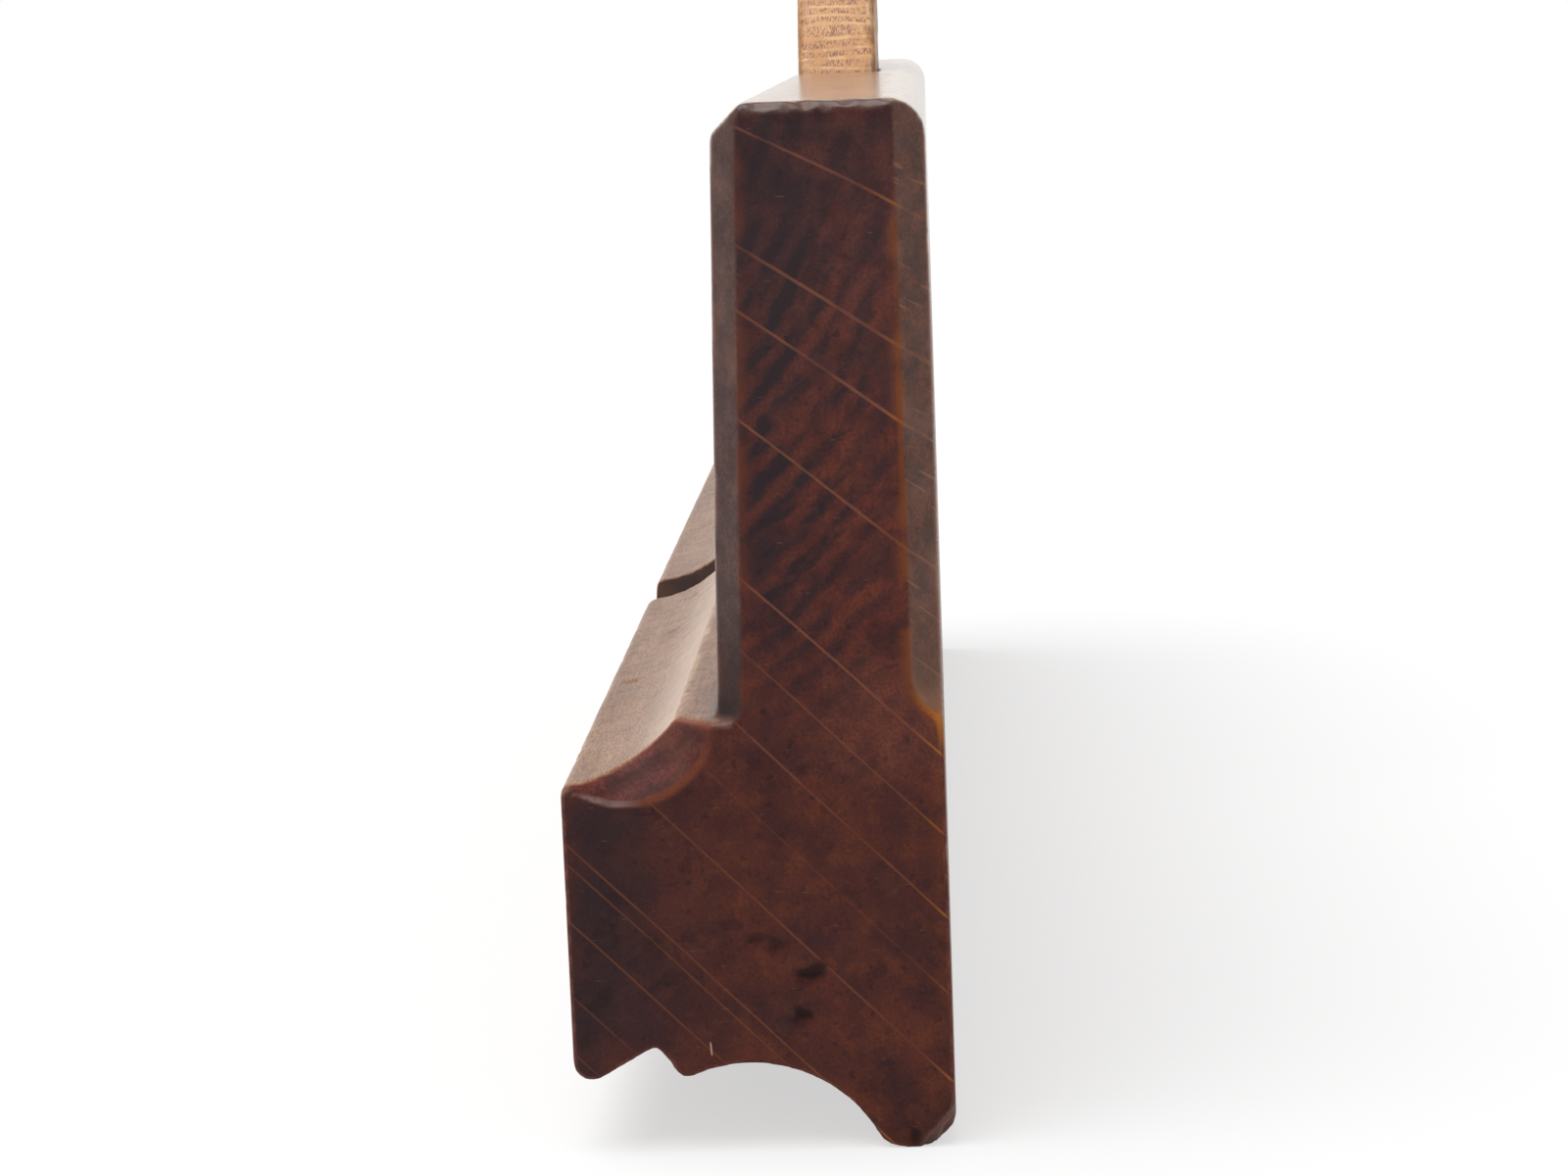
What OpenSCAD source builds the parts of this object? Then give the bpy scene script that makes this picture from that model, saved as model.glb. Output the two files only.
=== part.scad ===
// Wooden moulding plane that cuts a quirked ovolo.
// X runs across the plane, Y along it from toe to heel, Z up from the bottom of the fence.
// The toe faces -Y, the escapement and the depth stop are on the -X side, the blind side is +X.

/* [Stock] */
// Length from toe to heel
stock_length = 241.3; // [180:0.1:300]
// Height from the bottom of the fence to the top
stock_height = 88.9; // [75:0.1:110]
// Wall between the wedge mortise and the blind side
blind_wall = 5.6; // [4:0.05:10]
// Wall between the wedge mortise and the escapement side, at the top
open_wall = 2.65; // [2:0.05:6]
// How much thicker that wall is at the ledge than at the top
grip_taper = 1.4; // [0.2:0.1:3]
// Flat ledge between the grip and the cove of the shoulder
ledge_width = 3.6; // [1:0.1:8]
// Height of the shoulder's outer edge above the bottom of the fence
shoulder_height = 32.4; // [28:0.1:40]
// Rise of the cove from the shoulder's outer edge to the ledge
cove_rise = 5.1; // [2:0.1:9]
// Radius of the cove along the shoulder
cove_radius = 12; // [9:0.1:16]
// Radius of the shoulder's outer edge
shoulder_edge_radius = 0.8; // [0.2:0.1:2]

/* [Edges of the grip] */
// Chamfer along the top edge on the escapement side
top_chamfer = 2.6; // [0.5:0.1:4]
// Radius of the top edge on the blind side
top_radius = 3.2; // [0.5:0.1:6]
// Chamfer of the toe and heel corners on the escapement side
open_side_chamfer = 2.3; // [0.5:0.1:4]
// Chamfer of the toe and heel corners on the blind side
blind_side_chamfer = 2.75; // [0.5:0.1:4]
// Height at which the blind side chamfer starts to run out
chamfer_stop_height = 41; // [38:0.1:60]
// Radius of the gouge that ends the blind side chamfer
chamfer_gouge_radius = 4.7; // [2:0.1:9]
// Radius of the gouge cut across the end of the shoulder
end_gouge_radius = 7.5; // [5:0.1:8.5]
// Distance of that gouge cut's centre from the escapement side
end_gouge_inset = 5.6; // [3:0.1:8]
// Height of that gouge cut's centre above the shoulder's outer edge
end_gouge_lift = 5.9; // [4:0.1:9]

/* [Sole] */
// Height of the depth stop's outer corner before it is rounded
stop_height = 5.45; // [2:0.1:8]
// Radius of the depth stop's outer corner
stop_radius = 1.6; // [0.3:0.1:2.5]
// Height of the top of the quirk
quirk_height = 9.5; // [8:0.1:13]
// Radius in the top of the quirk
quirk_radius = 0.3; // [0.1:0.05:0.8]
// Width of the quirk from its top to the middle of the nose
quirk_width = 2.5; // [1.8:0.1:4]
// Distance from the middle of the nose to the crown of the arch
nose_to_crown = 5.3; // [4:0.1:8]
// Radius of the nose
nose_radius = 1.1; // [0.3:0.1:1.6]
// Radius of the arch
arch_radius = 12.3; // [10:0.1:16]
// Height of the arch's crown
crown_height = 7.75; // [6:0.05:9]
// Radius of the fence's inner corner
fence_inner_radius = 2.4; // [0.5:0.1:2.8]
// Radius of the fence's outer corner
fence_outer_radius = 2.8; // [0.5:0.1:3.8]

/* [Throat] */
// Distance from the toe to the foot of the bed
mouth_from_toe = 87.5; // [60:0.1:110]
// Length of the mouth at the nose
mouth_length = 6.6; // [5:0.1:10]
// Pitch of the bed
bed_pitch = 48; // [45:0.5:60]
// Angle between the bed and the breast, which is the taper of the wedge
wedge_angle = 8.7; // [6:0.1:11]
// Height of the escapement's round top above the ledge
escapement_rise = 10.5; // [8:0.1:16]
// How far the escapement widens from the mortise to the open side
escapement_flare = 2; // [0.5:0.1:4]

/* [Wedge] */
// Width of the wedge
wedge_width = 9.3; // [7:0.1:13]
// Height of the wedge's head above the stock
head_rise = 38; // [25:0.1:60]
// Height of the notch's lip above the stock
notch_rise = 15; // [8:0.1:20]
// Depth of the notch under the head
notch_depth = 6; // [3:0.1:8]
// How far the head stands back from the notch's lip
head_setback = 2; // [0.5:0.1:2.5]
// Radius of the head on the toe side
head_radius = 13; // [6:0.1:15]
// Radius of the head beside the iron
head_back_radius = 3; // [1:0.1:4]
// Distance along the bed from its foot to the tip of the wedge
tail_from_foot = 18; // [12:0.1:26]
// Thickness of the wedge at its tip
tail_thickness = 1; // [0.5:0.1:2]
// Length of the slanted cut that thins the tail
tail_cut = 32; // [20:0.1:40]
// Chamfer along the wedge's two front edges
wedge_chamfer = 0.7; // [0.2:0.1:1.5]

/* [Iron] */
// Thickness of the iron at the mouth
edge_thickness = 3.4; // [3:0.1:4.5]
// Thickness of the iron at the top of the tang
tang_thickness = 2.4; // [1.5:0.1:3.5]
// Height of the tang's end above the stock
tang_rise = 33; // [15:0.1:50]
// Chamfer of the tang's two end corners
tang_corner = 1.5; // [0.5:0.1:3]
// Length of the blade's full width, from the foot of the bed
blade_length = 24; // [18:0.1:28]
// How far the edge stands out below the sole
shaving = 0.2; // [0.1:0.05:0.5]
// Angle of the ground bevel's back above the line of the sole
edge_clearance = 20; // [12:0.5:28]
// Thickness of the steel that is laid on the iron's face
steel_thickness = 1.2; // [0.6:0.1:2]
// Length of the laid steel, from the foot of the bed
steel_length = 22; // [12:0.1:26]

/* [Fits] */
// Clearance between the mortise walls and the wedge and tang
side_clearance = 0.1; // [0.05:0.05:0.2]
// Clearance between the bed, the iron, the wedge and the breast
face_clearance = 0.05; // [0.02:0.01:0.1]
// How far the iron reaches past the end of the arch
edge_margin = 0.35; // [0.1:0.05:1]

/* [Hidden] */
$fn = 96;
arc_steps = 16;
overshoot = 1;

mortise_width = wedge_width + 2 * side_clearance;
grip_top = blind_wall + mortise_width + open_wall;
grip_thickness = grip_top + grip_taper;
cove_run = sqrt(2 * cove_radius * cove_rise - cove_rise * cove_rise);
stock_width = grip_thickness + ledge_width + cove_run;
blind_x = stock_width / 2;
open_x = -stock_width / 2;
grip_x = blind_x - grip_thickness;
mortise_right = blind_x - blind_wall;
mortise_left = mortise_right - mortise_width;
wedge_right = mortise_right - side_clearance;
wedge_left = mortise_left + side_clearance;
ledge_height = shoulder_height + cove_rise;
cove_centre = [open_x, shoulder_height + cove_radius];
toe_y = -stock_length / 2;
grip_lean = atan(grip_taper / (stock_height - ledge_height));

fence_x = wedge_right - edge_margin;
crown_x = fence_x - sqrt(2 * arch_radius * crown_height - crown_height * crown_height);
arch_centre = [crown_x, crown_height - arch_radius];
nose_reach = arch_radius + nose_radius;
nose_rise = sqrt(nose_reach * nose_reach - nose_to_crown * nose_to_crown);
nose_centre = arch_centre + [-nose_to_crown, nose_rise];
nose_z = nose_centre.y - nose_radius;
quirk_x = nose_centre.x - quirk_width;
fence_reach = arch_radius + fence_inner_radius;
fence_rise = fence_inner_radius - arch_centre.y;
fence_centre = arch_centre + [sqrt(fence_reach * fence_reach - fence_rise * fence_rise), fence_rise];
fence_corner = min(fence_outer_radius, blind_x - fence_centre.x);

// Places in the throat are given along the bed, from its foot up, and off its face.
foot_y = toe_y + mouth_from_toe;
breast_slope = tan(wedge_angle);
throat_root = -mouth_length * (cos(bed_pitch) + sin(bed_pitch) / breast_slope);
root_z = nose_z + throat_root * sin(bed_pitch);
half_wedge = wedge_angle / 2;
eye_height = ledge_height + escapement_rise - root_z;
eye_distance = eye_height / (sin(bed_pitch + half_wedge) + sin(half_wedge));
eye_radius = eye_distance * sin(half_wedge);
eye_tangent = eye_distance * cos(half_wedge);

iron_length = (stock_height + tang_rise - nose_z) / sin(bed_pitch);
iron_slope = (edge_thickness - tang_thickness) / iron_length;
face_pitch = bed_pitch - atan(iron_slope);
edge_along = -(shaving + (face_clearance + edge_thickness) * cos(bed_pitch))
    / (sin(bed_pitch) - iron_slope * cos(bed_pitch));
blade_shoulder = wedge_left - quirk_x;
blade_low = throat_root;

lip_height = stock_height + notch_rise - nose_z;
lip_along = (lip_height + (throat_root * breast_slope + face_clearance) * cos(bed_pitch))
    / (sin(bed_pitch) + breast_slope * cos(bed_pitch));
lip = [lip_along, wedge_front_at(lip_along)];
brow_off = lip.y - head_setback;
head_round = min(head_radius, brow_off - wedge_back_at(lip.x) - head_back_radius);
head_along = head_round + along_at(stock_height + head_rise - head_round, brow_off - head_round);

function breast_at(along) = (along - throat_root) * breast_slope;
function iron_face_at(along) = face_clearance + edge_thickness - along * iron_slope;
function wedge_back_at(along) = iron_face_at(along) + face_clearance;
function wedge_front_at(along) = breast_at(along) - face_clearance;
function along_at(height, off) = (height - nose_z - off * cos(bed_pitch)) / sin(bed_pitch);
function grip_side_at(height) = grip_x + tan(grip_lean) * (height - ledge_height);
function unit(v) = v / norm(v);
function turn(angle) = angle > 180 ? angle - 360 : angle < -180 ? angle + 360 : angle;
function bearing(v) = atan2(v.y, v.x);
function after_first(points) = [for (i = [1:len(points) - 1]) points[i]];

// Points of an arc from one angle to another.
function arc(centre, radius, from, to) = [
    for (i = [0:arc_steps])
        let (angle = from + (to - from) * i / arc_steps)
        centre + radius * [cos(angle), sin(angle)]
];

// Points that round one corner of an outline.
function corner(before, at, after, radius) =
    let (
        back = unit(before - at),
        ahead = unit(after - at),
        half = acos(back * ahead) / 2,
        centre = at + unit(back + ahead) * radius / sin(half),
        from = bearing(at + back * radius / tan(half) - centre),
        to = bearing(at + ahead * radius / tan(half) - centre)
    )
    arc(centre, radius, from, from + turn(to - from));

// The sole from the depth stop to the fence, as seen from the toe.
function sole_points() =
    let (
        side = [open_x, shoulder_height],
        stop = [open_x, stop_height],
        quirk = [quirk_x, quirk_height],
        flank = quirk - nose_centre,
        flank_angle = bearing(flank) + acos(nose_radius / norm(flank)),
        nose_points = arc(nose_centre, nose_radius, flank_angle, 360 + bearing(arch_centre - nose_centre))
    )
    concat(
        corner(side, stop, quirk, stop_radius),
        corner(stop, quirk, nose_points[0], quirk_radius),
        nose_points,
        after_first(arc(
            arch_centre,
            arch_radius,
            bearing(nose_centre - arch_centre),
            bearing(fence_centre - arch_centre)
        )),
        after_first(arc(fence_centre, fence_inner_radius, bearing(arch_centre - fence_centre), -90)),
        corner([fence_centre.x, 0], [blind_x, 0], [blind_x, stock_height], fence_corner)
    );

// The end of the stock above the sole, from the blind side over the top to the shoulder.
function upper_points() = concat(
    corner([blind_x, 0], [blind_x, stock_height], [grip_x, stock_height], top_radius),
    [
        [blind_x - grip_top + top_chamfer, stock_height],
        [grip_side_at(stock_height - top_chamfer), stock_height - top_chamfer],
        [grip_x, ledge_height]
    ],
    arc(
        cove_centre,
        cove_radius,
        bearing([cove_run, ledge_height - cove_centre.y]),
        asin(shoulder_edge_radius / cove_radius) - 90
    ),
    corner(
        [open_x + cove_run, shoulder_height],
        [open_x, shoulder_height],
        [open_x, 0],
        shoulder_edge_radius
    )
);

// Carries an outline seen from the toe along the plane.
module along_plane(length) {
    rotate([90, 0, 0])
        linear_extrude(length, center = true)
            children();
}

// Carries an outline seen from the open side across the plane.
module across(from_x, to_x) {
    translate([from_x, 0, 0])
        rotate([90, 0, 90])
            linear_extrude(to_x - from_x)
                children();
}

// Sets a shape on the bed, with Y up the bed and Z off its face.
module on_bed() {
    translate([0, foot_y, nose_z])
        rotate([bed_pitch, 0, 0])
            children();
}

// The toe, and the heel as its mirror image.
module both_ends() {
    children();
    mirror([0, 1, 0])
        children();
}

// Tapered mortise that runs from the top of the stock to the mouth.
module mortise() {
    reach = along_at(stock_height + overshoot, 0);
    across(mortise_left, mortise_right)
        polygon([[throat_root, 0], [reach, 0], [reach, breast_at(reach)]]);
}

// Slot through the shoulder, with a round top that flares towards the open side.
module escapement() {
    eye = [throat_root + eye_tangent, eye_radius];
    across(open_x - overshoot, mortise_left + overshoot) {
        polygon([
            [throat_root, 0],
            [eye.x, 0],
            eye,
            [throat_root + eye_tangent * cos(wedge_angle), eye_tangent * sin(wedge_angle)]
        ]);
        translate(eye)
            circle(eye_radius);
    }
    translate([grip_x, eye.x, eye.y])
        rotate([0, 90, 0])
            cylinder(h = mortise_left - grip_x, r1 = eye_radius + escapement_flare, r2 = eye_radius);
}

// Chamfer on an upright corner of the toe, down to a height.
module corner_cut(x, chamfer, side, lean, from_z) {
    reach = 2 * grip_thickness;
    intersection() {
        translate([x - side * chamfer / 2, toe_y + chamfer / 2, from_z])
            rotate([0, lean, 0])
                rotate([0, 0, side * 45])
                    translate([-reach / 2, -reach, -overshoot])
                        cube([reach, reach, stock_height]);
        translate([-stock_width, toe_y - stock_width, from_z])
            cube([2 * stock_width, 2 * stock_width, stock_height]);
    }
}

// Hollow in which a gouge ends the chamfer of the blind side.
module chamfer_end() {
    translate([blind_x - blind_side_chamfer / 2, toe_y + blind_side_chamfer / 2, chamfer_stop_height])
        rotate([0, 0, 45])
            translate([0, -chamfer_gouge_radius, 0])
                rotate([0, 90, 0])
                    cylinder(h = 4 * blind_side_chamfer, r = chamfer_gouge_radius, center = true);
}

// Slanted gouge cut where the cove of the shoulder meets the toe.
module shoulder_gouge() {
    translate([open_x + end_gouge_inset, toe_y - overshoot, shoulder_height + end_gouge_lift])
        rotate([-90, 0, 0])
            cylinder(h = end_gouge_radius + overshoot, r1 = end_gouge_radius + overshoot, r2 = 0);
}

// Stock, planed from one piece of beech.
module stock() {
    color("#4a2a22")
        difference() {
            along_plane(stock_length)
                polygon(concat(sole_points(), upper_points()));
            on_bed() {
                mortise();
                escapement();
            }
            both_ends() {
                corner_cut(grip_x, open_side_chamfer, -1, grip_lean, ledge_height);
                corner_cut(blind_x, blind_side_chamfer, 1, 0, chamfer_stop_height);
                chamfer_end();
                shoulder_gouge();
            }
        }
}

// Outline of the wedge as seen from the open side.
function wedge_points() =
    let (
        tip = [tail_from_foot, wedge_back_at(tail_from_foot)],
        cut_along = tail_from_foot + tail_cut,
        scoop = notch_depth - head_setback,
        chin = [lip.x + scoop, brow_off],
        brow = [head_along, brow_off],
        nape = [head_along, wedge_back_at(head_along)]
    )
    concat(
        [
            tip,
            tip + [0, tail_thickness],
            [cut_along, wedge_front_at(cut_along)],
            lip
        ],
        arc([lip.x, brow_off], scoop, -90, 0),
        corner(chin, brow, nape, head_round),
        corner(brow, nape, tip, head_back_radius)
    );

// Wedge that holds the iron on its bed.
module wedge() {
    edge = wedge_chamfer * sqrt(2);
    color("#b98a5e")
        on_bed()
            difference() {
                across(wedge_left, wedge_right)
                    polygon(wedge_points());
                for (x = [wedge_left, wedge_right])
                    translate([x, throat_root, -face_clearance])
                        rotate([wedge_angle, 0, 0])
                            rotate([0, 45, 0])
                                translate([-edge / 2, 0, -edge / 2])
                                    cube([edge, iron_length - throat_root, edge]);
            }
}

// Space behind the ground edge, which follows the sole.
module ground_edge() {
    height = iron_face_at(edge_along);
    edge_y = foot_y + edge_along * cos(bed_pitch) - height * sin(bed_pitch);
    squeeze = sin(face_pitch - edge_clearance) / sin(face_pitch);
    outline = concat(sole_points(), [[blind_x, iron_length], [open_x, iron_length]]);
    translate([0, edge_y, nose_z - shaving])
        rotate([edge_clearance, 0, 0])
            along_plane(2 * iron_length)
                polygon([for (p = outline) [p.x, (p.y - nose_z) * squeeze]]);
}

// The forged blade and tang with the edge ground to the sole's outline.
module iron_blank() {
    end = iron_length - tang_corner;
    intersection() {
        on_bed()
            across(open_x, blind_x)
                polygon([
                    [blade_low, face_clearance],
                    [iron_length, face_clearance],
                    [iron_length, iron_face_at(iron_length)],
                    [blade_low, iron_face_at(blade_low)]
                ]);
        on_bed()
            linear_extrude(2 * edge_thickness)
                polygon(concat(
                    [
                        [quirk_x, blade_low],
                        [wedge_right, blade_low],
                        [wedge_right, end],
                        [wedge_right - tang_corner, iron_length],
                        [wedge_left + tang_corner, iron_length],
                        [wedge_left, end]
                    ],
                    arc([quirk_x, blade_length + blade_shoulder], blade_shoulder, 0, -90)
                ));
        ground_edge();
    }
}

// Layer of the blade's face that is steel.
module steel_layer() {
    on_bed()
        across(open_x, blind_x)
            polygon([
                [blade_low, iron_face_at(blade_low) - steel_thickness],
                [steel_length, iron_face_at(steel_length) - steel_thickness],
                [steel_length, 2 * edge_thickness],
                [blade_low, 2 * edge_thickness]
            ]);
}

// Wrought iron body of the blade, with its tang.
module iron() {
    color("#4b4a4c")
        difference() {
            iron_blank();
            steel_layer();
        }
}

// Steel welded to the face of the iron, which takes the cutting edge.
module steel_face() {
    color("#8b8d90")
        intersection() {
            iron_blank();
            steel_layer();
        }
}

stock();
wedge();
iron();
steel_face();
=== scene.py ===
import math

import bmesh
import bpy
import numpy as np
from mathutils import Matrix, Vector
from mathutils.bvhtree import BVHTree


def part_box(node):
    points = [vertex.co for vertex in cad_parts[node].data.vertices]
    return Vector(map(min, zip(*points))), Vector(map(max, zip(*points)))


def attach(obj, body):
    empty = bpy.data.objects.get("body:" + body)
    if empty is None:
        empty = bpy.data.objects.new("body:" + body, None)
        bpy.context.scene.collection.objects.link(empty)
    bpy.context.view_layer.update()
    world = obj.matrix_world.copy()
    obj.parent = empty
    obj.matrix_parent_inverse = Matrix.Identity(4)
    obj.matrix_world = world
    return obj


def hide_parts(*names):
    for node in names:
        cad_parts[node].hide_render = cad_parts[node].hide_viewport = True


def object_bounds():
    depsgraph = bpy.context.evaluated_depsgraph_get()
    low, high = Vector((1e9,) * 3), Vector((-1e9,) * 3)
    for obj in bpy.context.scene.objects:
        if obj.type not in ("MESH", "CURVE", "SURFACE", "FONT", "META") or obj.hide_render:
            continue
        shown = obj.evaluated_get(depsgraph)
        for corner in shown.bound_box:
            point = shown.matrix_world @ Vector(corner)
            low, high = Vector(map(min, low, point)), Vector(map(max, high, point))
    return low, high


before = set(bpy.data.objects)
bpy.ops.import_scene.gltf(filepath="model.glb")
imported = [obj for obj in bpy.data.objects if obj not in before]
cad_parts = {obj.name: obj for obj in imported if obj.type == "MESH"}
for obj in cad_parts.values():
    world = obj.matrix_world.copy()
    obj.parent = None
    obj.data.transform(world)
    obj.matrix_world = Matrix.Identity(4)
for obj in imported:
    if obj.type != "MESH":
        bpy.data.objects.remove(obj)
cad_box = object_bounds()

# Stock: the body of the plane, cut from one length of beech with its growth rings on the slant.
# The end grain soaked up oil and dirt and went dark red-brown to nearly black, and the long grain
# stayed tan under a worn varnish. Hands and benches have rounded every arris.
MM = 0.001
STOCK_FACE = 0.4 * MM
STOCK_TRIANGLES = 170_000


def even_copy(name, node, face):
    """A new piece with the node's shape, in even faces that are small enough to wear down."""
    piece = bpy.data.objects.new(name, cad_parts[node].data.copy())
    bpy.context.scene.collection.objects.link(piece)
    piece.data.materials.clear()
    whole = bmesh.new()
    whole.from_mesh(piece.data)
    bmesh.ops.remove_doubles(whole, verts=whole.verts, dist=0.001 * MM)
    whole.to_mesh(piece.data)
    whole.free()
    grid = piece.modifiers.new("even faces", "REMESH")
    grid.mode = "VOXEL"
    grid.voxel_size = face
    settle(piece)
    return piece


def settle(piece):
    """Applies a piece's modifiers to its mesh."""
    depsgraph = bpy.context.evaluated_depsgraph_get()
    made = bpy.data.meshes.new_from_object(piece.evaluated_get(depsgraph))
    piece.modifiers.clear()
    piece.data = made


class Surface:
    """The points of a piece's mesh, with what is needed to wear them down."""

    def __init__(self, piece):
        self.mesh = piece.data
        self.count = len(self.mesh.vertices)
        self.points = self.read(self.mesh.vertices, "co", float, 3)
        self.normals = self.read(self.mesh.vertex_normals, "vector", float, 3)
        self.ends = self.read(self.mesh.edges, "vertices", int, 2)
        self.neighbours = np.bincount(self.ends.ravel(), minlength=self.count)

    def read(self, items, name, kind, width):
        values = np.empty(len(items) * width, np.float32 if kind is float else np.int32)
        items.foreach_get(name, values)
        return values.astype(kind).reshape(-1, width)

    def around(self, values):
        """The mean of each point's neighbours."""
        here, there = self.ends.T
        total = np.bincount(here, values[there], self.count)
        total += np.bincount(there, values[here], self.count)
        return total / self.neighbours

    def spread(self, values, passes):
        """Values that have run out into the faces around them."""
        for _ in range(passes):
            values = (values + self.around(values)) / 2
        return values

    def pull(self):
        """The way from each point to the middle of its neighbours."""
        return np.stack([self.around(axis) for axis in self.points.T], 1) - self.points

    def bend(self, face):
        """How sharply the surface bends, above 0 on an arris and below 0 in an inner corner."""
        return self.spread(-(self.pull() * self.normals).sum(1) / face, 1)

    def shave(self, spot, reach, way, rough, seed):
        """Takes off what stands past an uneven plane near a spot, and says how much that was in mm."""
        torn_size = 1.6 * MM
        way = np.array(way) / np.linalg.norm(way)
        off = self.points - np.array(spot) * MM
        past = off @ way + rough * MM * (lumps(self.points, torn_size, seed) - 0.5)
        taken = np.where(np.linalg.norm(off, axis=1) < reach * MM, np.clip(past, 0, None), 0)
        self.points -= taken[:, None] * way
        return taken / MM

    def dent(self, count, widths, depths, where, seed):
        """Presses small dents at random places, with sizes in mm, and says how deep they are."""
        chance = np.random.default_rng(seed)
        pressed = np.zeros(self.count)
        for spot in chance.choice(np.flatnonzero(where), count, replace=False):
            away = np.linalg.norm(self.points - self.points[spot], axis=1)
            width, depth = chance.uniform(*widths) * MM, chance.uniform(*depths)
            pressed = np.maximum(pressed, depth * np.exp(-((away / width) ** 2)))
        self.points -= pressed[:, None] * self.normals * MM
        return pressed

    def faces_itself(self, reach, where):
        """Which points of the chosen ones look at another wall of the same piece within reach."""
        faces = [tuple(face.vertices) for face in self.mesh.polygons]
        walls = BVHTree.FromPolygons(self.points.tolist(), faces)
        found = np.zeros(self.count)
        for spot in np.flatnonzero(where):
            way = Vector(self.normals[spot])
            outside = Vector(self.points[spot]) + way * MM / 2
            found[spot] = walls.ray_cast(outside, way, reach)[0] is not None
        return found

    def keep(self, name, values):
        """Stores a value for each point, which the material reads by its name."""
        self.mesh.attributes.new(name, "FLOAT", "POINT").data.foreach_set(
            "value", np.clip(values, 0, 1).astype(np.float32)
        )

    def write(self):
        self.mesh.vertices.foreach_set("co", self.points.astype(np.float32).ravel())
        self.mesh.update()


def lumps(points, size, seed):
    """A smooth uneven field from 0 to 1 over points, with bumps of about the given size."""
    chance = np.random.default_rng(seed)
    total = np.zeros(len(points))
    waves = 12
    for _ in range(waves):
        way = chance.normal(size=3)
        way *= 2 * math.pi / size / np.linalg.norm(way) * chance.uniform(0.6, 1.4)
        total += np.sin(points @ way + chance.uniform(0, 2 * math.pi))
    return 0.5 + 0.5 * np.tanh(total / math.sqrt(waves))


def round_arrises(surface, face, passes, seed):
    """Rounds and nicks the outer corners, more in some places than in others, and stores where, with
    the inner corners where shade is painted.
    """
    sharp = 0.1
    rub_size, nick_size = 14 * MM, 4 * MM
    nick_from, nick_full = 0.84, 0.92
    rest = surface.points.copy()
    bend = surface.bend(face)
    corner = np.clip(bend / sharp, 0, 1)
    rubbed = corner * (0.35 + 0.65 * lumps(rest, rub_size, seed))
    nick = (lumps(rest, nick_size, seed + 1) - nick_from) / (nick_full - nick_from)
    nicked = surface.spread(corner, 1) * np.clip(nick, 0, 1)
    for _ in range(passes):
        surface.points += 0.5 * rubbed[:, None] * surface.pull()
    for _ in range(2 * passes):
        surface.points += 0.5 * nicked[:, None] * surface.pull()
    surface.keep("wear", surface.spread(1.3 * np.maximum(rubbed, nicked), 1))
    surface.keep("glow", 2 * surface.spread(corner, 12))
    # The inner corners are kept for painted shade, which darkens them.
    surface.keep("corner_shade", 2 * surface.spread(np.clip(-bend / sharp, 0, 1), 8))


def thin_out(piece, triangles):
    """Leaves flat stretches with fewer faces, and shades the rest smoothly."""
    piece.data.calc_loop_triangles()
    fewer = piece.modifiers.new("fewer faces", "DECIMATE")
    fewer.ratio = min(1, triangles / len(piece.data.loop_triangles))
    settle(piece)
    piece.data.shade_smooth()
    shading = piece.modifiers.new("flat faces lead", "WEIGHTED_NORMAL")
    shading.weight = 100


stock = even_copy("stock_body", "stock", STOCK_FACE)
body = Surface(stock)
round_arrises(body, STOCK_FACE, 3, seed=3)

# Bruises on the toe, as (across, height, half length, half width, depth) in mm.
TOE_DENTS = (
    (-0.1, 18.7, 0.8, 0.5, 0.22),
    (1.3, 18.4, 0.9, 0.6, 0.26),
    (4.5, 15.6, 1.0, 0.95, 0.45),
    (3.6, 12.0, 1.1, 0.6, 0.4),
    (-2.9, 16.5, 0.9, 0.8, 0.12),
    (-9.1, 18.4, 1.0, 0.8, 0.12),
    (-12.3, 20.2, 0.5, 0.4, 0.2),
    (12.8, 1.2, 0.5, 0.8, 0.3),
)
toe_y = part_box("stock")[0].y
on_toe = np.clip(-body.normals[:, 1], 0, 1) * (body.points[:, 1] < toe_y + 2 * MM)
ragged = 0.6 + 0.8 * lumps(body.points, 1.1 * MM, 21)
bruise = np.zeros(body.count)
for across, height, half_length, half_width, depth in TOE_DENTS:
    away = np.hypot(
        (body.points[:, 0] / MM - across) / half_length,
        (body.points[:, 2] / MM - height) / half_width,
    )
    bruise = np.maximum(bruise, depth * np.exp(-((away * ragged) ** 4)))
bruise *= on_toe
body.points[:, 1] += bruise * MM

# Knocks that took a corner off, each as a spot in mm that it passes, its reach, the way it faces,
# and its roughness.
toe_end = toe_y / MM
top_edge = body.shave((7.0, toe_end, 88.1), 12.0, (0.0, -0.7, 0.71), 0.25, 31)
fence_corner = body.shave((15.2, toe_end, 2.8), 4.0, (0.62, -0.62, -0.48), 0.3, 32)
lip_corner = body.shave((-15.7, -22.5, 32.2), 5.0, (-0.8, 0.2, 0.57), 0.4, 33)
fence_side = body.shave((16.2, toe_end, 5.4), 2.0, (0.8, -0.6, 0.0), 0.3, 34)
shoulder_corner = body.shave((-15.5, toe_end, 31.8), 3.5, (-0.5, -0.5, 0.7), 0.3, 35)
chipped = top_edge + fence_corner + lip_corner + fence_side + shoulder_corner

# Dings from the bench along the sides, and marks of the mallet on the heel. A bruise of the
# depth given here, in mm, takes its full colour.
BRUISE_SHOWN = 0.3
along = np.abs(body.normals[:, 1]) < 0.3
heel = body.normals[:, 1] > 0.9
dings = body.dent(90, (0.5, 1.5), (0.08, 0.3), along, 41)
dings = np.maximum(dings, body.dent(14, (1.0, 2.6), (0.1, 0.3), heel, 42))
body.keep("bruise", np.maximum(bruise / BRUISE_SHOWN, dings * 1.5))
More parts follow.
